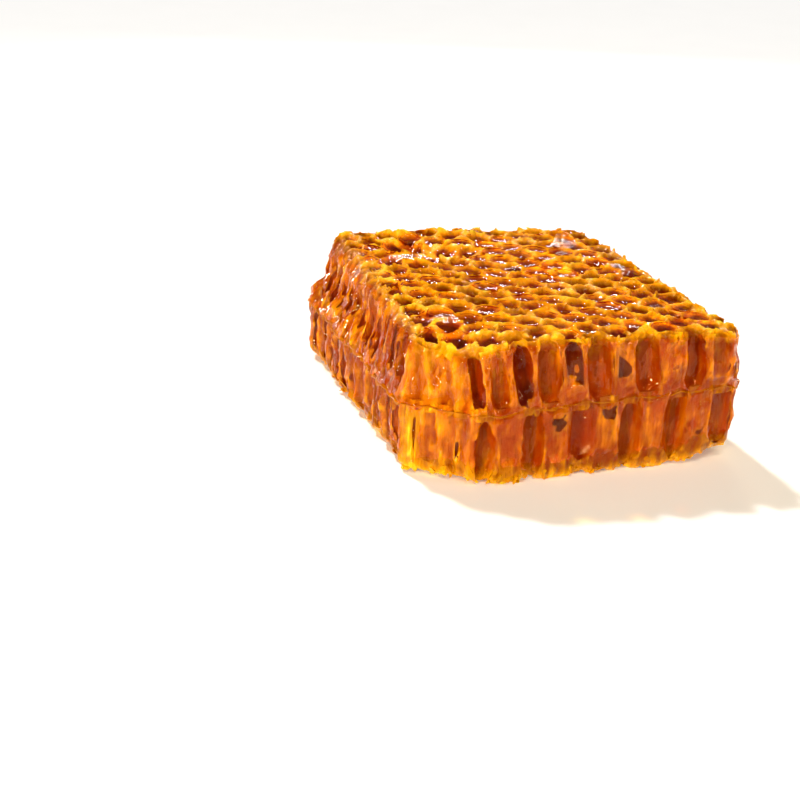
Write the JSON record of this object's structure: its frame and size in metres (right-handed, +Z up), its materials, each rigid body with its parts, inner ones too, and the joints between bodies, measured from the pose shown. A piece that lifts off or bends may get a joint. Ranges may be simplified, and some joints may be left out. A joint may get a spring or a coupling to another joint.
{
  "type": "honeycomb piece",
  "caption": "Block of natural honeycomb cut from a frame: open hexagonal wax cells on both sides of a midrib, full of honey, with split cells along its sides.",
  "frame": {"origin": "middle of the block's footprint, on the surface that it rests on", "axes": "+Z up, from the face that it rests on to the open cells on top; -Y is the front, the longest clean cut; +X is to the right, seen from the front"},
  "size_m": [0.073, 0.0736, 0.0273],
  "materials": {
    "comb": null,
    "midrib": "thin golden beeswax wetted with honey; gloss_plastic stands for it"
  },
  "bodies": {
    "root": {"upper_cells": "comb", "midrib": "midrib", "lower_cells": "comb"}
  },
  "joints": []
}
